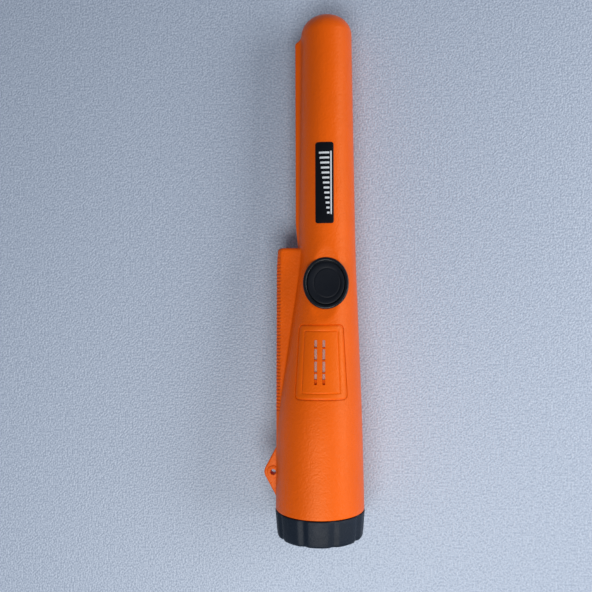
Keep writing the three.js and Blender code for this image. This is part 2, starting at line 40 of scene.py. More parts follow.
# ------------------------------------------------------------------ the part's own dimensions, mm
LENGTH = 233.4
CAP_SEAM = 12.0
DOME_START = 224.4
DOME_FLAT = 1.0
SHAFT_FOOT = 124.0
GRIP_START = 54.0
RADII = ((CAP_SEAM, 19.7), (GRIP_START, 18.8), (SHAFT_FOOT, 12.85), (DOME_START, 11.4))
GRIP_X = -3.5
OFFSETS = ((GRIP_START, GRIP_X), (SHAFT_FOOT, 0.0))
LIFT = 0.12  # the round body clears the floor by this much
SOFTENING, SOFTENING_STEPS = 9.0, 9
WALL = 2.6
BAY_RADIUS = 15.7
NECK_END = 2.5
NECK, CREST, CAP_CREST, CAP_ROOT = 16.9, 17.6, 17.35, 17.9
THREAD_LEAD, THREAD_START, THREAD_WIDTH, THREAD_STEPS = 3.0, 3.6, 1.3, 48
NECK_TURNS, CAP_TURNS = 1.75, 1.25
LOBES, CAP_RADIUS, CAP_REAR, FLUTE_DEPTH, FLUTE_HALF = 9, 19.85, 18.95, 0.85, math.radians(8)
CAP_FACE_EDGE, CAP_SKIRT = 16.8, 18.6
CAP_FLOOR, CAP_LIP, CAP_BORE = 2.2, 11.7, 18.35
RING_RADIUS, RING_HALF, RING_Y = 17.6, 0.45, CAP_SEAM - 0.8
PAD_REAR, PAD_FRONT, PAD_RADIUS, PAD_DROP = 2.5, 5.5, 14.4, 0.3
BLOCK_LEFT, BLOCK_FRONT, BLOCK_HALF, BLOCK_CHAMFER, BLOCK_ROOT = -22.6, 127.7, 6.0, 1.6, -4.0
BLOCK_TAPER, BLOCK_TAPER_LENGTH = 0.6, 12
TOOTH_PITCH, TOOTH_RADIUS, TOOTH_RISE, TOOTH_REACH, TEETH_FROM, TEETH_TO = 1.5, 0.6, 0.15, 1.5, 56.0, 124.5
BLADE_LEFT, BLADE_FRONT, BLADE_HALF, BLADE_ROOT = -14.25, 222.8, 1.2, -6.0
BLADE_RUNOUT, BLADE_SINK, BLADE_RAKE, BLADE_RAKE_X = 12.0, 1.6, 0.42, -11.4
EYE_X, EYE_Y, EYE_RADIUS, EYE_HOLE, EYE_HALF = -24.2, 28.0, 4.0, 1.2, 2.3
EYE_LEAN, EYE_FOOT_X, EYE_REACH, EYE_EDGE = 0.5, -22.1, 12.4, 0.5
COLLAR_RADIUS, COLLAR_HALF = 2.8, 2.7
BUTTON_Y, BUTTON_X_HALF, BUTTON_Y_HALF, BUTTON_RING, BUTTON_TOP = 111.8, 9.95, 11.45, 1.6, -0.1
BUTTON_SHIFT, BUTTON_LIP, BUTTON_GAP, BUTTON_STRETCH = 0.3, 3.3, 0.3, 1.15
DISC_SHIFT, DISC_FADE_FROM, DISC_FADE = 0.5, 6.65, 0.6
SCOOP_RADIUS, SCOOP_DEPTH, SCOOP_TILT = 61.0, 1.9, 0.019
PANEL_REAR, PANEL_FRONT, PANEL_WIDTH, PANEL_TAPER, PANEL_CORNER = 62.3, 93.3, 20.0, 0.083, 1.5
PANEL_SHIFT, PANEL_GROOVE, PANEL_GROOVE_HALF, PANEL_GROOVE_DEPTH = -0.1, 2.35, 0.42, 0.3
SLOT_LENGTH, SLOT_WIDTH, SLOT_PITCH, SLOT_MIDDLE = 19.2, 1.18, 3.5, -0.6
BAR_MIDDLE, BAR_PITCH, BAR_HALF, BAR_LOW, BAR_HIGH = 0.75, 5.3, 0.36, -1.38, -1.12
END_BAR_MIDDLE, END_BAR_HALF = -8.6, 1.3
LABEL_REAR, LABEL_FRONT, LABEL_WIDTH, LABEL_CORNER, LABEL_X = 137.8, 173.5, 8.1, 1.1, -0.8
MARK_COUNT, MARK_SHORT, MARK_GROWTH, MARK_START, MARK_PITCH, MARK_HALF = 13, 1.1, 3.5, 4.6, 2.2, 0.42
MARK_FOOT_X, BASELINE_X, BASELINE_HALF, BASELINE_REACH = 2.2, 2.9, 0.28, 13.9
LAMP_X, LAMP_Z, LAMP_BORE = -17.5, 13.3, 3.5

# ------------------------------------------------------------------ how far edges are rounded, mm
BLADE_BLEND, BLOCK_BLEND, SCOOP_EDGE = 2.2, 0.5, 0.25
BLOCK_EDGE, CHAMFER_EDGE, BLOCK_CORNER = 0.3, 0.5, 1.9
BLADE_EDGE, BLADE_CORNER = 0.7, 1.2

# ------------------------------------------------------------------ texture scales of fine waves
CLOTH_WAVES = 1428.6136  # threads about 0.22 mm apart
WIRE_WAVES = 1666.7158  # turns about 0.19 mm apart

# ------------------------------------------------------------------ camera, mm
CAMERA_AT = (7.4, 106.05, 327.9)
CAMERA_LEAN = -0.0688
CAMERA_ROLL = -0.0041
CAMERA_LENS = 42.1

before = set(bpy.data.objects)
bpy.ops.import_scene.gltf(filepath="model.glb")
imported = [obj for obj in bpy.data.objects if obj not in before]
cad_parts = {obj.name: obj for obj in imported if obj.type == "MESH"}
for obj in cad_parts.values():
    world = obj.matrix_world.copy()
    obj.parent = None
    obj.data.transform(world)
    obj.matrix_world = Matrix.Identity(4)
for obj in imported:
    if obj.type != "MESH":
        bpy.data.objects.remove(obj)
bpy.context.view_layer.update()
cap_low, cap_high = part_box("battery_cap")
SHIFT = np.array([(cap_low[0] + cap_high[0]) / 2 / MM - GRIP_X, -LENGTH / 2, 0.0])


# ------------------------------------------------------------------ the housing's surface
def softened(y, points):
    """Straight lines through the points, with their corners rounded by a running mean."""
    stations, values = zip(*points)
    steps = np.linspace(-SOFTENING, SOFTENING, SOFTENING_STEPS)
    return np.interp(np.asarray(y, float)[..., None] + steps, stations, values).mean(-1)


def radius(y):
    """The round body's radius."""
    return softened(np.maximum(y, CAP_SEAM), RADII)


def centre_x(y):
    """How far the round body's centre line lies to the side."""
    return softened(y, OFFSETS)


def centre_z(y):
    """Height of the round body's centre line."""
    return radius(y) + LIFT


GRIP_Z = float(centre_z(0.0))


def top_of(x, y):
    """Height of the round body's upper surface."""
    across = np.asarray(x) - centre_x(y)
    return centre_z(y) + np.sqrt(np.maximum(radius(y) ** 2 - across**2, 0.01))


def slope_of(y, reach=5):
    """Angle of the body's top line."""
    rise = 2 * (radius(y + reach) - radius(y - reach))
    return math.atan(float(rise) / (2 * reach))


def seat(y, shift=0.0):
    """The frame of a fitting on top of the body, square to the surface there."""
    place = Matrix.Rotation(slope_of(y), 4, "X")
    place.translation = (float(centre_x(y)) + shift, y, float(centre_z(y) + radius(y)))
    return np.array(place)


def placed(points, place):
    """Points of a fitting's frame in the probe's frame."""
    return np.asarray(points) @ place[:3, :3].T + place[:3, 3]


BUTTON_SEAT = seat(BUTTON_Y, BUTTON_SHIFT)
PANEL_MIDDLE = (PANEL_REAR + PANEL_FRONT) / 2
PANEL_SEAT = seat(PANEL_MIDDLE)


def soft_max(a, b, k):
    """The larger of two distances, with the corner between them rounded over k."""
    share = np.clip(0.5 + 0.5 * (a - b) / k, 0, 1)
    return b + (a - b) * share + k * share * (1 - share)


def soft_min(a, b, k):
    """The smaller of two distances, with the corner between them filled over k."""
    return -soft_max(-a, -b, k)


def block_distance(x, y, dz):
    """Distance to the flashlight block, whose left edges are chamfered and narrow at the front."""
    taper = np.clip((y - BLOCK_FRONT + BLOCK_TAPER_LENGTH) / BLOCK_TAPER_LENGTH, 0, 1)
    left = BLOCK_LEFT + BLOCK_TAPER * taper**2
    side = np.maximum(left - x, x - BLOCK_ROOT)
    face = np.abs(dz) - BLOCK_HALF
    chamfer = (side + face + BLOCK_CHAMFER) / math.sqrt(2)
    section = soft_max(soft_max(side, face, BLOCK_EDGE), chamfer, CHAMFER_EDGE)
    return soft_max(section, y - BLOCK_FRONT, BLOCK_CORNER)


def blade_distance(x, y, dz):
    """Distance to the scraping blade, which sinks into the body beside the block."""
    rear = BLOCK_FRONT + 0.3
    runout = np.clip((rear + BLADE_RUNOUT - y) / BLADE_RUNOUT, 0, 1)
    left = BLADE_LEFT + BLADE_SINK * runout**1.5
    side = np.maximum(left - x, x - BLADE_ROOT)
    face = np.abs(dz) - BLADE_HALF
    end = 0.92 * (y - BLADE_FRONT - BLADE_RAKE * (x - BLADE_RAKE_X))
    return soft_max(soft_max(side, face, BLADE_EDGE), end, BLADE_CORNER)


def scoop_distance(y, z):
    """Distance inside the cross-wise cylinder that hollows the thumb scoop."""
    rise = SCOOP_RADIUS - SCOOP_DEPTH
    axis = placed([[0, -rise * math.sin(SCOOP_TILT), rise * math.cos(SCOOP_TILT)]], BUTTON_SEAT)[0]
    return SCOOP_RADIUS - np.hypot(y - axis[1], z - axis[2])


def housing_distance(x, y, z, profile):
    """Distance to the whole housing: the round body, blade and block, less the scoop."""
    dx, dz = x - centre_x(y), z - centre_z(y)
    body = np.hypot(dx, dz) - profile
    body = soft_min(body, blade_distance(x, y, dz), BLADE_BLEND)
    body = soft_min(body, block_distance(x, y, dz), BLOCK_BLEND)
    return soft_max(body, scoop_distance(y, z), SCOOP_EDGE)


# ------------------------------------------------------------------ meshes
def piece(name, points, faces, smooth=40):
    """A mesh object from millimetre points in the probe's frame, with faces turned outwards."""
    mesh = bpy.data.meshes.new(name)
    mesh.from_pydata([tuple(p) for p in (np.asarray(points) + SHIFT) * MM], [], faces)
    tidy = bmesh.new()
    tidy.from_mesh(mesh)
    bmesh.ops.remove_doubles(tidy, verts=tidy.verts, dist=1e-8)
    bmesh.ops.recalc_face_normals(tidy, faces=tidy.faces)
    tidy.to_mesh(mesh)
    tidy.free()
    obj = bpy.data.objects.new(name, mesh)
    bpy.context.collection.objects.link(obj)
    shade(obj, smooth)
    return obj


def shade(obj, angle):
    """Smooth faces with edges kept sharp above an angle in degrees."""
    obj.data.shade_smooth()
    obj.data.set_sharp_from_angle(angle=math.radians(angle))


def loft(loops, cap_start=True, cap_end=True):
    """Points and faces of a skin over closed loops, with a fan over each end."""
    loops = [np.asarray(loop, float) for loop in loops]
    count = len(loops[0])
    points = np.concatenate(loops)
    faces = []
    for i in range(len(loops) - 1):
        a, b = i * count, (i + 1) * count
        faces += [(a + j, a + (j + 1) % count, b + (j + 1) % count, b + j) for j in range(count)]
    extra = []
    for wanted, start, turn in ((cap_start, 0, -1), (cap_end, (len(loops) - 1) * count, 1)):
        if wanted:
            hub = len(points) + len(extra)
            extra.append(points[start : start + count].mean(0))
            faces += [(start + j, start + (j + 1) % count, hub)[::turn] for j in range(count)]
    if extra:
        points = np.vstack([points, extra])
    return points, faces


def revolved(profile, segments, at=(0.0, 0.0), dip=None):
    """Points and faces of a solid of revolution about Y from (radius, y) pairs that end on the axis."""
    angles = np.linspace(0, 2 * math.pi, segments, endpoint=False)
    loops = []
    for r, y in profile:
        reach = r - dip(angles, r, y) if dip else np.full(segments, float(r))
        across, up = at[0] + reach * np.sin(angles), at[1] + reach * np.cos(angles)
        loops.append(np.stack([across, np.full(segments, float(y)), up], 1))
    return loft(loops)


def thread_ridge(root, crest, start, turns, at):
    """Points and faces of one helical ridge, tapered at both of its ends."""
    steps = int(turns * THREAD_STEPS)
    share = np.linspace(0, 1, steps + 1)
    run_in = np.minimum(1, 6 * np.minimum(share, 1 - share) + 0.2)
    angle = share * turns * 2 * math.pi
    along = start + share * turns * THREAD_LEAD
    loops = []
    for i in range(steps + 1):
        section = []
        for r, half in ((root, -0.5), (crest, -0.22), (crest, 0.22), (root, 0.5)):
            y = along[i] + half * THREAD_WIDTH * run_in[i]
            section.append((at[0] + r * math.sin(angle[i]), y, at[1] + r * math.cos(angle[i])))
        loops.append(section)
    return loft(loops)


def rounded_rectangle(half_x, half_y, corner, inset=0.0, per_corner=8, per_side=12):
    """A closed outline with a fixed number of points, so that insets of it line up."""
    x, y = half_x - inset, half_y - inset
    r = max(corner - inset, 0.06)
    points = []
    for sx, sy, start in ((1, -1, -90), (1, 1, 0), (-1, 1, 90), (-1, -1, 180)):
        for i in range(per_corner + 1):
            a = math.radians(start + 90 * i / per_corner)
            points.append((sx * (x - r) + r * math.cos(a), sy * (y - r) + r * math.sin(a)))
    outline = []
    for i, p in enumerate(points):
        outline.append(p)
        if i % (per_corner + 1) == per_corner:
            q = points[(i + 1) % len(points)]
            for k in range(1, per_side):
                t = k / per_side
                outline.append((p[0] + (q[0] - p[0]) * t, p[1] + (q[1] - p[1]) * t))
    return np.array(outline)


def oval(half_x, half_y, count=96):
    """A closed ellipse."""
    angle = np.linspace(0, 2 * math.pi, count, endpoint=False)
    return np.stack([half_x * np.cos(angle), half_y * np.sin(angle)], 1)


def level(flat, height):
    """Flat points, all at one height."""
    return np.column_stack([flat, np.full(len(flat), height)])


def prism(outline, place, low, high):
    """Points and faces of a straight prism between two heights of a fitting's frame."""
    return loft([placed(level(outline, z), place) for z in (low, high)])


def joined(parts):
    """Several (points, faces) lists as one."""
    points, faces, base = [], [], 0
    for p, f in parts:
        points.append(np.asarray(p, float))
        faces += [tuple(i + base for i in face) for face in f]
        base += len(p)
    return np.vstack(points), faces


def boolean(obj, tool, operation="DIFFERENCE"):
    """Cuts a tool's points and faces out of obj, or joins them on."""
    other = piece("tool", *tool)
    change = obj.modifiers.new("change", "BOOLEAN")
    change.operation = operation
    change.solver = "MANIFOLD"
    change.object = other
    depsgraph = bpy.context.evaluated_depsgraph_get()
    mesh = bpy.data.meshes.new_from_object(obj.evaluated_get(depsgraph))
    obj.modifiers.clear()
    obj.data = mesh
    bpy.data.objects.remove(other)


def box_part(low, high, place):
    """Points and faces of a box in a fitting's frame."""
    xs, ys, zs = zip(low, high)
    points = [(x, y, z) for x in xs for y in ys for z in zs]
    faces = [(0, 1, 3, 2), (4, 6, 7, 5), (0, 4, 5, 1), (2, 3, 7, 6), (0, 2, 6, 4), (1, 5, 7, 3)]
    return placed(points, place), faces


# ------------------------------------------------------------------ housing
def housing_rows():
    """Stations and body radii of the skin's rows: dense where the outline changes fast."""
    seam_edge = ((0.0, -0.3), (0.06, -0.14), (0.2, -0.03), (0.4, 0.0))
    rows = [(CAP_SEAM + along, inset) for along, inset in seam_edge]
    scoop_from, scoop_to = 93, 130
    y = CAP_SEAM + 1.2
    while y < DOME_START - 0.5:
        rows.append((y, 0.0))
        y += 0.5 if scoop_from < y < scoop_to else 1.0
    fine = [BLOCK_FRONT + d for d in (-1.9, -1.6, -1.3, -1.05, -0.8, -0.6, -0.4, -0.25, -0.12, -0.04)]
    fine += [BLOCK_FRONT + d for d in (0.01, 0.04, 0.1, 0.22, 0.4)]
    fine += [BLADE_FRONT + d for d in np.arange(-3.4, 1.2, 0.2)]
    rows = [r for r in rows if min(abs(r[0] - f) for f in fine) > 0.05]
    rows = sorted(rows + [(f, 0.0) for f in fine])
    stations = np.array([r[0] for r in rows])
    reach = radius(stations) + np.array([r[1] for r in rows])
    angles = np.radians(np.linspace(0, 90, 22))
    dome = float(radius(DOME_START)) - DOME_FLAT
    stations = np.append(stations, DOME_START + (LENGTH - DOME_START) * np.sin(angles))
    return stations, np.append(reach, DOME_FLAT + dome * np.cos(angles))


def housing_columns():
    """Directions of the skin's columns, close together round the block and the blade."""
    coarse = np.radians(np.arange(-140, 140, 1.5))
    middle = np.radians(np.concatenate([np.arange(140, 172, 0.55), np.arange(188, 220, 0.55)]))
    blade = np.radians(np.arange(172, 188, 0.4))
    return np.sort(np.concatenate([coarse, middle, blade]))


def housing_skin():
    """The outer skin, found by walking out from the centre line until it leaves the shape."""
    stations, profile = housing_rows()
    angles = housing_columns()
    y = np.repeat(stations[:, None], len(angles), 1)
    limit = profile[:, None]
    low, high = np.zeros_like(y), np.full_like(y, 32.0)
    across, up = np.cos(angles)[None], np.sin(angles)[None]
    cx, cz = centre_x(stations)[:, None], centre_z(np.minimum(stations, DOME_START))[:, None]
    for _ in range(24):
        reach = (low + high) / 2
        inside = housing_distance(cx + reach * across, y, cz + reach * up, limit) < 0
        low, high = np.where(inside, reach, low), np.where(inside, high, reach)
    reach = (low + high) / 2
    grid = np.stack([cx + reach * across, y, cz + reach * up], -1)
    return loft(list(grid))


def lanyard_lug():
    """The eye's plate: a round nose on two straight flanks, with softened edges."""
    lean = np.linspace(-EYE_LEAN, EYE_LEAN, 13)
    nose = list(zip(EYE_X - EYE_RADIUS * np.cos(lean), EYE_Y + EYE_RADIUS * np.sin(lean)))
    root, rear, front = EYE_FOOT_X + 5, EYE_Y - EYE_REACH, EYE_Y + EYE_REACH
    outline = np.array([(root, rear), (EYE_FOOT_X, rear), *nose, (EYE_FOOT_X, front), (root, front)])
    centre = np.array([EYE_FOOT_X + 2, EYE_Y])
    mean_reach = 6.0  # from the centre to the outline, which turns an inset into a scale
    loops = []
    for a in np.radians(np.linspace(-90, 90, 9)):
        shrink = 1 - EYE_EDGE * (1 - math.cos(a)) / mean_reach
        height = (EYE_HALF - EYE_EDGE) * np.sign(math.sin(a)) + EYE_EDGE * math.sin(a)
        loops.append(level(centre + (outline - centre) * shrink, float(centre_z(EYE_Y)) + height))
    return loft(loops)


def upright_turned(profile, x, y, z, segments=64):
    """Points and faces of a solid of revolution about Z from (radius, height) pairs."""
    points, faces = revolved(profile, segments)
    return np.column_stack([points[:, 0] + x, points[:, 2] + y, points[:, 1] + z]), faces


def tooth_groove(y, side):
    """A small rod laid across one chamfer of the block; side is 1 above and -1 below."""
    half = BLOCK_CHAMFER / 2
    middle = np.array([BLOCK_LEFT + half, y, float(centre_z(y)) + side * (BLOCK_HALF - half)])
    along = np.array([1.0, 0.0, side]) / math.sqrt(2)
    out = np.array([-1.0, 0.0, side]) / math.sqrt(2)
    turn = np.linspace(0, 2 * math.pi, 10, endpoint=False)[:, None]
    ring = middle + out * (TOOTH_RISE + TOOTH_RADIUS * np.cos(turn))
    ring = ring + np.array([0.0, 1.0, 0.0]) * TOOTH_RADIUS * np.sin(turn)
    return loft([ring + along * reach for reach in (-TOOTH_REACH, TOOTH_REACH)])


def serrations():
    """Small cross grooves in the block's two long chamfers."""
    stations = np.arange(TEETH_FROM, TEETH_TO, TOOTH_PITCH)
    return joined([tooth_groove(y, side) for y in stations for side in (1, -1)])


def panel_outline(inset):
    """The speaker panel's outline in x and y, a little wider at the rear."""
    half = (PANEL_FRONT - PANEL_REAR) / 2
    corner = PANEL_CORNER if inset < 1 else inset + 0.5
    flat = rounded_rectangle(PANEL_WIDTH / 2, half, corner, inset)
    flat[:, 0] *= 1 - PANEL_TAPER * flat[:, 1] / half
    return flat + (float(centre_x(PANEL_MIDDLE)) + PANEL_SHIFT, PANEL_MIDDLE)


def on_top(flat, rise):
    """Flat x and y points laid on the round body's top, raised by a given height."""
    return np.column_stack([flat, top_of(flat[:, 0], flat[:, 1]) + rise])


def filled(outline, rise, shares=(1.0, 0.93, 0.8, 0.62, 0.42, 0.2, 0.05)):
    """Loops that fill an outline on the body's top, from its rim to its middle."""
    middle = outline.mean(0)
    return [on_top(middle + (outline - middle) * s, rise) for s in shares]


def panel_recess():
    """The space cut for the panel, with a rolled rim that shows as a joint line."""
    outside = panel_outline(-0.85)
    edge = ((-0.85, 0.35), (-0.68, 0.05), (-0.55, -0.07), (-0.45, -0.2), (-0.4, -0.45))
    loops = filled(outside, 2.5)[::-1][:-1] + [on_top(outside, 2.5)]
    loops += [on_top(panel_outline(inset), rise) for inset, rise in edge]
    return loft(loops + filled(panel_outline(-0.4), -1.5))


def inner_space():
    """The hollow inside: the round battery bay, then the shaft's bore."""
    stations = (-1.0, NECK_END, 30, 45, 50, 54, 58, 63, 78, 93, 104, 115, 119, 124, 129, 133, 160, 195, 222)
    profile = [(min(BAY_RADIUS, float(radius(y)) - WALL), y) for y in stations]
    points, faces = revolved(profile + [(6.0, 230.0)], 72)
    y = np.minimum(points[:, 1], DOME_START)
    return points + np.column_stack([centre_x(y), np.zeros(len(y)), centre_z(y)]), faces


def eye_turned(profile, segments=64):
    """A turned shape on the lanyard eye's axis."""
    return upright_turned(profile, EYE_X, EYE_Y, float(centre_z(EYE_Y)), segments)


def eye_collar():
    h, r = COLLAR_HALF, COLLAR_RADIUS
    rear = [(r - 0.35, -h), (r - 0.1, -h + 0.1), (r, -h + 0.35)]
    return eye_turned(rear + [(r, h - 0.35), (r - 0.1, h - 0.1), (r - 0.35, h)])


def eye_bore():
    h, r = COLLAR_HALF, EYE_HOLE
    rear = [(r + 0.6, -h - 0.5), (r + 0.2, -h), (r, -h + 0.25)]
    return eye_turned(rear + [(r, h - 0.25), (r + 0.2, h), (r + 0.6, h + 0.5)], 48)


def neck_sleeve():
    """The plain neck that the cap's thread is raised on."""
    end = [(NECK - 0.5, NECK_END), (NECK - 0.15, NECK_END + 0.12), (NECK, NECK_END + 0.5)]
    return revolved(end + [(NECK, CAP_SEAM + 1)], 128, (GRIP_X, GRIP_Z))


def lamp_bore():
    """The flashlight's bore, flared at the block's front face."""
    r, front = LAMP_BORE, BLOCK_FRONT
    profile = [(r, 86), (r, front - 0.5), (r + 0.35, front), (r + 0.9, front + 1)]
    return revolved(profile, 64, (LAMP_X, LAMP_Z))


def make_housing():
    obj = piece("housing_shell", *housing_skin())
    neck_thread = thread_ridge(NECK - 0.4, CREST, THREAD_START, NECK_TURNS, (GRIP_X, GRIP_Z))
    for tool in (lanyard_lug(), eye_collar(), neck_sleeve(), neck_thread):
        boolean(obj, tool, "UNION")
    sound_opening = prism(rounded_rectangle(6, 12.5, 1.5), PANEL_SEAT, -9, 3)
    stem_opening = prism(oval(6.4, 7.6, 64), BUTTON_SEAT, -9, 3)
    boolean(obj, inner_space())
    boolean(obj, panel_recess())
    for tool in (sound_opening, stem_opening, lamp_bore(), eye_bore(), serrations()):
        boolean(obj, tool)
    shade(obj, 38)
    return obj


# ------------------------------------------------------------------ speaker panel
def panel_skin():
    """The panel's insert: its flange, rolled edge, fine frame line and plain middle."""
    groove, width = PANEL_GROOVE, PANEL_GROOVE_HALF
    edge = ((-0.36, -0.46), (-0.32, -0.43), (0.0, -0.4), (0.06, -0.2), (0.16, -0.08), (0.35, 0.0), (1.0, 0.0))
    notch = (
        (groove - width, 0.0), (groove - width + 0.08, -0.03), (groove, -PANEL_GROOVE_DEPTH),
        (groove + width - 0.08, -0.03), (groove + width, 0.0),
    )
    loops = filled(panel_outline(-0.36), -1.15)[::-1]
    loops += [on_top(panel_outline(inset), rise) for inset, rise in edge + notch]
    middle = (0.97, 0.9, 0.8, 0.7, 0.6, 0.5, 0.4, 0.3, 0.2, 0.1)
    return loft(loops + filled(panel_outline(groove + width), 0.0, middle))


def make_speaker_panel():
    obj = piece("speaker_panel_insert", *panel_skin())
    for side in (-1, 1):
        slot = rounded_rectangle(SLOT_WIDTH / 2, SLOT_LENGTH / 2, 0.45, 0, 5, 3)
        boolean(obj, prism(slot + (SLOT_MIDDLE + side * SLOT_PITCH / 2, 0), PANEL_SEAT, -6, 3))
    bars = [(BAR_MIDDLE + i * BAR_PITCH, BAR_HALF) for i in (-1, 0, 1)]
    for y, half in bars + [(END_BAR_MIDDLE, END_BAR_HALF)]:
        boolean(obj, box_part((-4, y - half, BAR_LOW), (3, y + half, BAR_HIGH), PANEL_SEAT), "UNION")
    shade(obj, 30)
    return obj


# ------------------------------------------------------------------ label
def label_outline(inset):
    """The label's outline in x and y."""
    flat = rounded_rectangle(LABEL_WIDTH / 2, (LABEL_FRONT - LABEL_REAR) / 2, LABEL_CORNER, inset, 6, 16)
    return flat + (LABEL_X, (LABEL_FRONT + LABEL_REAR) / 2)


def make_label():
    loops = filled(label_outline(0.0), 0.05)[::-1]
    loops += [on_top(label_outline(inset), rise) for inset, rise in ((0.0, 0.2), (0.06, 0.28), (0.2, 0.3))]
    loops += filled(label_outline(0.2), 0.3, (0.9, 0.75, 0.6, 0.45, 0.3, 0.15, 0.04))
    return piece("label_sticker", *loft(loops))


def raised_mark(outline):
    """A thin pad of ink on the label."""
    low, foot, top = 0.2, 0.28, 0.33
    rings = (0.85, 0.6, 0.35, 0.1)
    side = [on_top(outline, foot), on_top(outline, top)]
    return loft(filled(outline, low, rings)[::-1] + side + filled(outline, top, rings))


def make_label_marks():
    """A generic row of rising signal bars with a baseline."""
    outlines = []
    for i in range(MARK_COUNT):
        reach = MARK_SHORT + MARK_GROWTH * (i / (MARK_COUNT - 1))
        at = (LABEL_X + MARK_FOOT_X - reach / 2, LABEL_REAR + MARK_START + i * MARK_PITCH)
        outlines.append(rounded_rectangle(reach / 2, MARK_HALF, 0.12, 0, 3, 4) + at)
    baseline = rounded_rectangle(BASELINE_HALF, BASELINE_REACH, 0.15, 0, 3, 24)
    outlines.append(baseline + (LABEL_X + BASELINE_X, (LABEL_REAR + LABEL_FRONT) / 2))
    return piece("label_signal_bars", *joined([raised_mark(outline) for outline in outlines]))


# ------------------------------------------------------------------ button
def seat_floor(flat):
    """Height, in the button's frame, of the housing's surface under flat points."""
    rise = np.zeros(len(flat))
    slope = slope_of(BUTTON_Y)
    for _ in range(6):
        at = placed(np.column_stack([flat, rise]), BUTTON_SEAT)
        rise += (top_of(at[:, 0], at[:, 1]) - at[:, 2]) * math.cos(slope)
    scoop = SCOOP_RADIUS - SCOOP_DEPTH - np.sqrt(SCOOP_RADIUS**2 - flat[:, 1] ** 2)
    scoop += flat[:, 1] * SCOOP_TILT
    return np.minimum(rise, scoop)


def bezel_oval(inset):
    """The bezel's outline in the button's frame."""
    return oval(BUTTON_X_HALF - inset, BUTTON_Y_HALF - inset)


def bezel_loop(inset, height):
    """One oval ring of the bezel at a height."""
    return placed(level(bezel_oval(inset), height), BUTTON_SEAT)


def bezel_foot(inset, lift=-0.03, side_lift=0.0):
    """One oval ring lying on the housing, lifted by a little, and by more at its two sides."""
    flat = bezel_oval(inset)
    rise = seat_floor(flat) + lift + side_lift * (flat[:, 0] / BUTTON_X_HALF) ** 2
    return placed(np.column_stack([flat, rise]), BUTTON_SEAT)


def make_button_bezel():
    top, ring = BUTTON_TOP, BUTTON_RING
    outer = [(0.0, top - 0.46), (0.05, top - 0.4), (0.17, top - 0.2), (0.36, top - 0.06), (0.6, top)]
    inner = [(ring - 0.6, top), (ring - 0.34, top - 0.05), (ring - 0.14, top - 0.2)]
    inner += [(ring - 0.03, top - 0.45), (ring, top - 0.65)]
    lip = [bezel_foot(inset, 0.04, 0.24) for inset in (ring, BUTTON_LIP)]
    loops = [bezel_foot(0.0)] + [bezel_loop(*point) for point in outer + inner] + lip
    loops += [bezel_foot(BUTTON_LIP), loops[0]]
    return piece("button_bezel_ring", *loft(loops, False, False))


def cap_profile(reach, top):
    """Radius and height pairs of the rubber cap, from the stem's foot up to the disc's middle."""
    stem = [(0.02, -4.0), (1.7, -4.0), (1.8, -3.9), (1.8, -2.0)]
    collar = [(5.5, -2.0), (5.6, -1.9), (5.6, -0.85)]
    rim = [(reach, -0.54), (reach, top - 0.15), (reach - 0.12, top - 0.08), (reach - 0.3, top - 0.03)]
    rim += [(reach - 0.5, top), (reach - 0.9, top), (reach - 1.4, top - 0.04)]
    valley = [(6.1, top - 0.16), (5.85, top - 0.28), (5.72, top - 0.33), (5.6, top - 0.31)]
    ridge = [(5.45, top - 0.23), (5.3, top - 0.2), (5.1, top - 0.22)]
    disc = [(4.0, top - 0.33), (2.5, top - 0.43), (1.0, top - 0.48), (0.02, top - 0.49)]
    return stem + collar + rim + valley + ridge + disc


def make_button_cap():
    """A dished rubber cap: a rolled rim, a valley and an off-centre finger disc."""
    top = BUTTON_TOP - 0.25
    loops = []
    for r, z in cap_profile(BUTTON_X_HALF - BUTTON_RING - BUTTON_GAP, top):
        flat = oval(r, r * (1 + (BUTTON_STRETCH - 1) * min(1, r / 5)))
        if z > top - 0.6:
            flat = flat + (DISC_SHIFT * min(1, max(0, (DISC_FADE_FROM - r) / DISC_FADE)), 0)
        loops.append(placed(level(flat, z), BUTTON_SEAT))
    return piece("button_rubber_cap", *loft(loops), smooth=50)


# ------------------------------------------------------------------ battery cap
def flute_dip(angles, r, y):
    """Depth of the grip flutes: nine, with a lobe's crest at the top."""
    pitch = 2 * math.pi / LOBES
    from_flute = np.abs((angles / pitch) % 1 - 0.5) * pitch
    dip = 0.5 * (1 + np.cos(np.clip(from_flute / FLUTE_HALF, 0, 1) * math.pi))
    strength = np.clip((r - CAP_FACE_EDGE) / 1.2, 0, 1) if y < CAP_LIP - 0.01 else 1.0
    on_end_edge = y < 1.6 and r > CAP_FACE_EDGE
    return dip * FLUTE_DEPTH * strength if r > CAP_SKIRT or on_end_edge else dip * 0


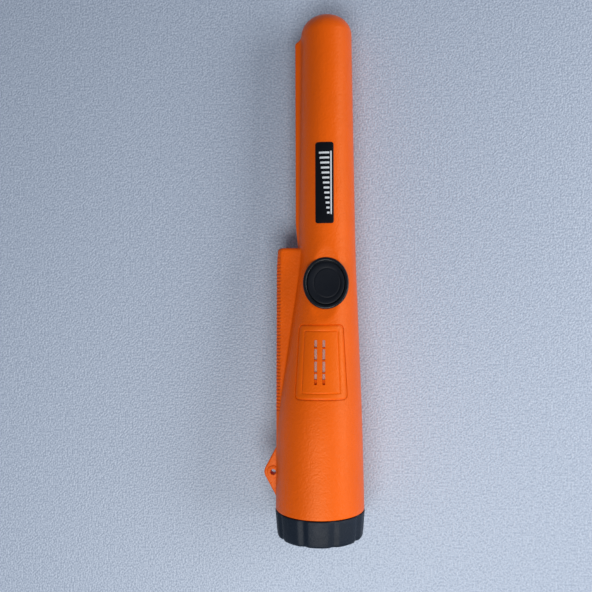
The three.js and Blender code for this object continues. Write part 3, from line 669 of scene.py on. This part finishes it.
def make_battery_cap():
    at, lip, bore = (GRIP_X, GRIP_Z), CAP_LIP, CAP_BORE
    profile = [(0.05, 0.0), (8.0, 0.0), (15.0, 0.0), (CAP_FACE_EDGE, 0.0)]
    profile += [(17.5, 0.02), (18.05, 0.14), (18.5, 0.38), (18.8, 0.75), (CAP_REAR, 1.25), (19.05, 2.2)]
    for y in np.linspace(3.2, lip - 0.5, 9):
        profile.append((CAP_REAR + (CAP_RADIUS - CAP_REAR) * y / lip, y))
    profile += [(CAP_RADIUS - 0.06, lip - 0.22), (CAP_RADIUS - 0.2, lip - 0.06), (CAP_RADIUS - 0.4, lip)]
    profile += [(bore + 0.15, lip), (bore, lip - 0.15), (bore, 10.2), (CAP_ROOT, 9.9), (CAP_ROOT, 6.0)]
    profile += [(CAP_ROOT, CAP_FLOOR + 0.5), (CAP_ROOT - 0.5, CAP_FLOOR), (8.0, CAP_FLOOR), (0.05, CAP_FLOOR)]
    obj = piece("battery_cap_shell", *revolved(profile, LOBES * 28, at, flute_dip))
    ridge = thread_ridge(CAP_ROOT + 0.3, CAP_CREST, THREAD_START + THREAD_LEAD / 2, CAP_TURNS, at)
    boolean(obj, ridge, "UNION")
    shade(obj, 40)
    return obj


def make_o_ring():
    loops = []
    for a in np.linspace(0, 2 * math.pi, 96, endpoint=False):
        section = []
        for b in np.linspace(0, 2 * math.pi, 14, endpoint=False):
            r, y = RING_RADIUS + RING_HALF * math.cos(b), RING_Y + RING_HALF * math.sin(b)
            section.append((GRIP_X + r * math.sin(a), y, GRIP_Z + r * math.cos(a)))
        loops.append(section)
    loops.append(loops[0])
    return piece("cap_o_ring", *loft(loops, False, False))


def make_battery_pad():
    """A foam disc, slightly dished on both faces and soft at its edge."""
    rear, front, edge = PAD_REAR, PAD_FRONT, PAD_RADIUS
    profile = [(0.05, rear + 0.05), (6.0, rear + 0.02), (12.5, rear), (edge - 0.3, rear + 0.12)]
    profile += [(edge, rear + 0.5), (edge, front - 0.5)]
    profile += [(edge - 0.3, front - 0.15), (12.5, front - 0.03), (6.0, front - 0.08), (0.05, front - 0.1)]
    return piece("battery_pad_foam", *revolved(profile, 72, (GRIP_X, GRIP_Z - PAD_DROP)))


def make_lens():
    front = BLOCK_FRONT
    profile = [(0.02, front - 3.1), (3.2, front - 3.1), (3.2, front - 0.45), (3.0, front - 0.2)]
    profile += [(2.4, front + 0.08), (1.6, front + 0.3), (0.8, front + 0.42), (0.02, front + 0.46)]
    return piece("flashlight_lens_window", *revolved(profile, 64, (LAMP_X, LAMP_Z)), smooth=35)


# ------------------------------------------------------------------ materials
class Nodes:
    """A material's node tree with short calls for the nodes used here."""

    def __init__(self, name):
        self.material = bpy.data.materials.new(name)
        self.material.use_nodes = True
        self.tree = self.material.node_tree
        self.shader = self.tree.nodes["Principled BSDF"]
        self.place = self.tree.nodes.new("ShaderNodeTexCoord").outputs["Object"]

    def add(self, kind, inputs=(), **settings):
        node = self.tree.nodes.new("ShaderNode" + kind)
        for key, value in settings.items():
            setattr(node, key, value)
        for key, value in dict(inputs).items():
            if hasattr(value, "is_output"):
                self.tree.links.new(value, node.inputs[key])
            else:
                node.inputs[key].default_value = value
        return node

    def noise(self, size_mm, detail=2.0, rough=0.5, stretch=None):
        vector = self.place
        if stretch:
            vector = self.add("Mapping", {"Vector": self.place, "Scale": stretch}).outputs["Vector"]
        inputs = {"Vector": vector, "Scale": 1000.0 / size_mm, "Detail": detail, "Roughness": rough}
        return self.add("TexNoise", inputs).outputs["Fac"]

    def ramp(self, source, low, high, start=0.0, end=1.0):
        inputs = {"Value": source, "From Min": start, "From Max": end, "To Min": low, "To Max": high}
        return self.add("MapRange", inputs).outputs["Result"]

    def blend(self, share, first, second):
        node = self.add("Mix", data_type="RGBA")
        for socket, value in ((0, share), (6, first), (7, second)):
            if hasattr(value, "is_output"):
                self.tree.links.new(value, node.inputs[socket])
            else:
                node.inputs[socket].default_value = (*value, 1.0) if socket else value
        return node.outputs[2]

    def sum(self, a, b, share):
        scaled = self.add("Math", {0: b, 1: share}, operation="MULTIPLY").outputs[0]
        return self.add("Math", {0: a, 1: scaled}, operation="ADD").outputs[0]

    def bump(self, height, depth_mm):
        inputs = {"Height": height, "Distance": depth_mm * MM, "Strength": 1.0}
        self.set("Normal", self.add("Bump", inputs).outputs["Normal"])

    def set(self, key, value):
        if hasattr(value, "is_output"):
            self.tree.links.new(value, self.shader.inputs[key])
        else:
            self.shader.inputs[key].default_value = value


def moulded(name, colour, roughness, grain_mm, grain_depth, variation=0.06, specular=0.5, tint=(1, 1, 1)):
    """Spark-textured moulded plastic: a fine pebble grain and slightly uneven gloss."""
    m = Nodes(name)
    broad = m.noise(14.0, 3.0)
    low = tuple(c * (1 - variation) for c in colour)
    high = tuple(min(1.0, c * (1 + variation)) for c in colour)
    m.set("Base Color", m.blend(m.ramp(broad, 0, 1, 0.3, 0.7), low, high))
    fine = m.noise(grain_mm, 2.0, 0.55)
    m.set("Roughness", m.ramp(m.sum(m.noise(3.0), fine, 0.6), roughness - 0.07, roughness + 0.08, 0.4, 1.2))
    m.bump(m.sum(fine, m.noise(grain_mm * 2.6, 1.0), 0.5), grain_depth)
    m.set("Specular IOR Level", specular)
    m.set("Specular Tint", (*tint, 1.0))
    return m.material


def metal(name, colour, roughness, stretch=(1, 1, 1)):
    """Plated or turned metal with fine drawing marks."""
    m = Nodes(name)
    lines = m.noise(0.4, 3.0, 0.6, stretch)
    dark = tuple(c * 0.82 for c in colour)
    m.set("Base Color", m.blend(m.ramp(m.noise(4.0), 0, 1, 0.35, 0.65), dark, colour))
    m.set("Roughness", m.ramp(lines, roughness - 0.08, roughness + 0.1, 0.3, 0.7))
    m.set("Metallic", 1.0)
    m.bump(lines, 0.01)
    return m.material


def soft_foam(name, colour):
    """Open-cell foam, with painted shade in the pits of its cells."""
    m = Nodes(name)
    cells = m.add("TexVoronoi", {"Vector": m.place, "Scale": 1000.0 / 0.5}).outputs["Distance"]
    # Painted shade: the base colour falls to half in each cell's pit, where the bump is lowest.
    m.set("Base Color", m.blend(m.ramp(cells, 0, 1, 0.0, 0.6), tuple(c * 0.5 for c in colour), colour))
    m.set("Roughness", m.ramp(m.noise(1.0), 0.88, 0.98, 0.3, 0.7))
    m.bump(cells, 0.15)
    return m.material


def mesh_cloth(name, colour):
    """A fine woven sound membrane, with painted shade where the threads dip."""
    m = Nodes(name)
    waves = []
    for axis in ("X", "Y"):
        inputs = {"Vector": m.place, "Scale": CLOTH_WAVES, "Distortion": 0.4, "Detail": 1.0}
        waves.append(m.add("TexWave", inputs, bands_direction=axis).outputs["Fac"])
    weave = m.add("Math", {0: waves[0], 1: waves[1]}, operation="MULTIPLY").outputs[0]
    # Painted shade: the base colour falls to 0.72 where the weave is low, the same places where the bump
    # sinks.
    m.set("Base Color", m.blend(m.ramp(weave, 0, 1, 0.0, 0.8), tuple(c * 0.72 for c in colour), colour))
    m.set("Roughness", m.ramp(m.noise(2.0), 0.8, 0.95, 0.3, 0.7))
    m.bump(weave, 0.05)
    return m.material


def wound_wire(name, colour):
    """Enamelled copper wire wound close round the Y axis, with painted shade in the grooves between its
    turns.
    """
    m = Nodes(name)
    inputs = {"Vector": m.place, "Scale": WIRE_WAVES, "Distortion": 0.3, "Detail": 1.0}
    turns = m.add("TexWave", inputs, bands_direction="Y").outputs["Fac"]
    # Painted shade: the base colour darkens to 0.55 of the copper in the grooves between turns, where the
    # bump is lowest.
    m.set("Base Color", m.blend(m.ramp(turns, 0, 1), tuple(c * 0.55 for c in colour), colour))
    m.set("Roughness", m.ramp(m.noise(2.0), 0.28, 0.4, 0.3, 0.7))
    m.set("Metallic", 1.0)
    m.bump(turns, 0.06)
    return m.material


def clear_plastic(name, tint):
    """Clear moulded plastic, faintly uneven."""
    m = Nodes(name)
    m.set("Base Color", m.blend(m.ramp(m.noise(5.0), 0, 1, 0.3, 0.7), tuple(c * 0.97 for c in tint), tint))
    m.set("Roughness", m.ramp(m.noise(1.5), 0.03, 0.08, 0.3, 0.7))
    m.set("Transmission Weight", 1.0)
    m.set("IOR", 1.49)
    m.bump(m.noise(2.5), 0.004)
    return m.material


def board_green(name):
    """Solder mask over faint copper tracks."""
    m = Nodes(name)
    inputs = {"Vector": m.place, "Scale": 1000.0 / 3.0}
    tracks = m.add("TexVoronoi", inputs, distance="MANHATTAN", feature="F2").outputs["Distance"]
    m.set("Base Color", m.blend(m.ramp(tracks, 0, 1, 0.5, 0.9), (0.008, 0.09, 0.03), (0.02, 0.17, 0.06)))
    m.set("Roughness", m.ramp(m.noise(2.0), 0.3, 0.42, 0.3, 0.7))
    m.bump(tracks, 0.03)
    return m.material


def jacket(name, colour, band, split_y):
    """A printed battery jacket: one plain colour with a plain band at its front end."""
    m = Nodes(name)
    y = m.add("SeparateXYZ", {"Vector": m.place}).outputs["Y"]
    share = m.ramp(y, 0, 1, split_y, split_y + 0.0002)
    body = m.blend(m.ramp(m.noise(9.0), 0, 1, 0.3, 0.7), tuple(c * 0.9 for c in colour), colour)
    m.set("Base Color", m.blend(share, body, band))
    m.set("Roughness", m.ramp(m.noise(3.0), 0.28, 0.38, 0.3, 0.7))
    m.set("Metallic", 0.3)
    m.bump(m.noise(6.0), 0.02)
    return m.material


def floor_surface(name):
    """A pale silver-grey table top with a fine metallic fleck."""
    m = Nodes(name)
    fleck = m.sum(m.noise(0.85, 0.0), m.noise(3.0, 2.0), 0.25)
    m.set("Base Color", m.blend(m.ramp(fleck, 0, 1, 0.4, 0.9), (0.375, 0.445, 0.575), (0.54, 0.62, 0.76)))
    m.set("Roughness", m.ramp(m.noise(3.0), 0.42, 0.52, 0.3, 0.7))
    m.set("Specular IOR Level", 0.6)
    m.bump(fleck, 0.25)
    return m.material


WARM = (1.0, 0.75, 0.42)
ORANGE = moulded("orange_moulded_plastic", (0.87, 0.116, 0.0003), 0.42, 0.8, 0.17, 0.03, 0.45, WARM)
ORANGE_PANEL = moulded("orange_panel_plastic", (0.87, 0.125, 0.0006), 0.4, 0.8, 0.12, 0.03, 0.4, WARM)
BLACK = moulded("black_moulded_plastic", (0.007, 0.0135, 0.026), 0.5, 0.55, 0.14, 0.15, 0.25)
BLACK_RING = moulded("black_bezel_plastic", (0.004, 0.006, 0.010), 0.3, 0.4, 0.03, 0.15, 0.4)
RUBBER = moulded("black_button_rubber", (0.004, 0.006, 0.011), 0.5, 0.45, 0.04, 0.2, 0.22)
STICKER = moulded("label_black_film", (0.003, 0.004, 0.007), 0.35, 0.9, 0.008, 0.15, 0.2)
WHITE_INK = moulded("label_white_ink", (0.72, 0.75, 0.8), 0.45, 0.5, 0.006, 0.03)
NATURAL = moulded("natural_moulded_plastic", (0.62, 0.60, 0.52), 0.5, 0.6, 0.03)
CHIP = moulded("chip_epoxy", (0.02, 0.02, 0.022), 0.5, 0.25, 0.02, 0.2)
FERRITE = moulded("ferrite_sinter", (0.035, 0.033, 0.036), 0.65, 0.5, 0.05, 0.25)
RED_WIRE = moulded("red_wire_insulation", (0.5, 0.02, 0.012), 0.4, 0.8, 0.01)
BLACK_WIRE = moulded("black_wire_insulation", (0.012, 0.012, 0.013), 0.4, 0.8, 0.01, 0.2)
STEEL = metal("plated_steel", (0.62, 0.63, 0.65), 0.3, (1, 6, 1))
BRASS = metal("sounder_brass_metal", (0.72, 0.5, 0.2), 0.3, (4, 4, 1))
TUNGSTEN = metal("sintered_weight_metal", (0.4, 0.39, 0.37), 0.42)
FOAM = soft_foam("grey_cell_foam", (0.09, 0.09, 0.1))
MEMBRANE = mesh_cloth("sound_membrane_cloth", (0.95, 0.66, 0.58))
COPPER = wound_wire("wound_copper_wire", (0.6, 0.26, 0.1))
CLEAR = clear_plastic("clear_lens_plastic", (0.97, 0.98, 1.0))
BOARD = board_green("green_solder_mask")
BAND_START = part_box("battery")[1][1] - 0.014
BATTERY = jacket("battery_printed_jacket", (0.02, 0.05, 0.13), (0.6, 0.45, 0.12), BAND_START)

CARRIED = {
    "speaker_membrane": MEMBRANE, "speaker_gasket": FOAM, "speaker": BRASS, "flashlight_led": CLEAR,
    "led_collar": RUBBER, "ferrite_core": FERRITE, "coil_former": NATURAL, "search_coil": COPPER,
    "tip_cushion": FOAM, "main_board": BOARD, "board_frame": NATURAL, "microcontroller": CHIP,
    "amplifier_chip": CHIP, "crystal": STEEL, "motor_can": STEEL, "motor_clip": NATURAL, "motor_shaft": STEEL,
    "motor_weight": TUNGSTEN, "battery": BATTERY, "battery_stud": STEEL, "battery_socket": STEEL,
    "contact_socket": STEEL, "contact_stud": STEEL, "battery_bulkhead": NATURAL, "tact_switch": CHIP,
    "switch_plunger": BLACK_RING, "battery_lead_red": RED_WIRE, "battery_lead_black": BLACK_WIRE,
    "coil_lead_start": COPPER, "coil_lead_end": COPPER,
}
for number in (1, 2, 3):
    CARRIED[f"capacitor_{number}"] = STEEL
for number in (1, 2, 3, 4):
    CARRIED[f"board_screw_{number}"] = STEEL
for name, material in CARRIED.items():
    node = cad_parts[name]
    node.data.materials.clear()
    node.data.materials.append(material)


def dress(obj, material, body, slot, *nodes):
    """Gives a piece its material and the body it rides on, and hides the CAD nodes it stands for."""
    obj.data.materials.clear()
    obj.data.materials.append(material)
    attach(obj, body)
    if nodes:
        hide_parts(*nodes)


dress(make_housing(), ORANGE, "housing", "orange_plastic", "housing")
dress(make_speaker_panel(), ORANGE_PANEL, "housing", "orange_plastic", "speaker_panel")
dress(make_label(), STICKER, "housing", "sticker", "label_plate")
dress(make_label_marks(), WHITE_INK, "housing", "sticker")
dress(make_button_bezel(), BLACK_RING, "housing", "black_plastic", "button_bezel")
dress(make_button_cap(), RUBBER, "button", "black_rubber", "button_cap")
dress(make_battery_cap(), BLACK, "battery_cap", "black_plastic", "battery_cap")
dress(make_o_ring(), RUBBER, "housing", "black_rubber", "cap_seal_ring")
dress(make_lens(), CLEAR, "housing", "clear_lens", "flashlight_lens")
pad = make_battery_pad()
dress(pad, FOAM, "cap_carrier", "foam", "battery_pad")


# ------------------------------------------------------------------ stage, light and camera
def make_floor():
    mesh = bpy.data.meshes.new("floor")
    reach = 2.5
    corners = [(-reach, -reach, 0), (reach, -reach, 0), (reach, reach, 0), (-reach, reach, 0)]
    mesh.from_pydata(corners, [], [(0, 1, 2, 3)])
    mesh.materials.append(floor_surface("pale_table_top"))
    obj = bpy.data.objects.new("floor", mesh)
    bpy.context.collection.objects.link(obj)
    obj.location.z = -0.0001


def set_frame(obj, axes, at):
    """Places an object by its three axes, as columns, and its origin."""
    obj.matrix_world = Matrix([[*axes[i], at[i]] for i in range(3)] + [[0, 0, 0, 1]])


def area_light(name, at, toward, size, power, colour):
    lamp = bpy.data.lights.new(name, "AREA")
    lamp.shape = "RECTANGLE"
    lamp.size, lamp.size_y = size
    lamp.energy = power
    lamp.color = colour
    obj = bpy.data.objects.new(name, lamp)
    bpy.context.collection.objects.link(obj)
    back = np.array(at, float) - np.array(toward, float)
    back /= np.linalg.norm(back)
    side = np.cross((0.0, 1.0, 0.0), back)
    side /= np.linalg.norm(side)
    up = np.cross(back, side)
    set_frame(obj, np.column_stack([side, up, back]), at)


def make_lights():
    world = bpy.data.worlds.new("soft_surround")
    world.use_nodes = True
    background = world.node_tree.nodes["Background"]
    background.inputs["Color"].default_value = (0.76, 0.86, 1.0, 1.0)
    background.inputs["Strength"].default_value = 0.2
    bpy.context.scene.world = world
    area_light("key_window", (0.0, -0.34, 0.55), (0, -0.06, 0), (0.45, 0.3), 2.5, (1.0, 0.99, 0.96))
    area_light("side_fill", (0.62, 0.02, 0.34), (0, 0, 0), (0.3, 0.7), 3.0, (1.0, 0.98, 0.95))


def make_camera():
    lens = bpy.data.cameras.new("camera")
    lens.lens = CAMERA_LENS
    lens.sensor_width = 36.0
    lens.clip_start = 0.01
    obj = bpy.data.objects.new("camera", lens)
    bpy.context.collection.objects.link(obj)
    ahead = np.array([math.sin(CAMERA_LEAN), 0.0, -math.cos(CAMERA_LEAN)])
    right = np.array([math.cos(CAMERA_LEAN), 0.0, math.sin(CAMERA_LEAN)])
    up = np.array([0.0, 1.0, 0.0])
    c, s = math.cos(CAMERA_ROLL), math.sin(CAMERA_ROLL)
    axes = np.column_stack([right * c + up * s, up * c - right * s, -ahead])
    set_frame(obj, axes, (np.array(CAMERA_AT) + SHIFT) * MM)
    bpy.context.scene.camera = obj


make_floor()
make_lights()
make_camera()
bpy.context.scene.view_settings.view_transform = "Standard"
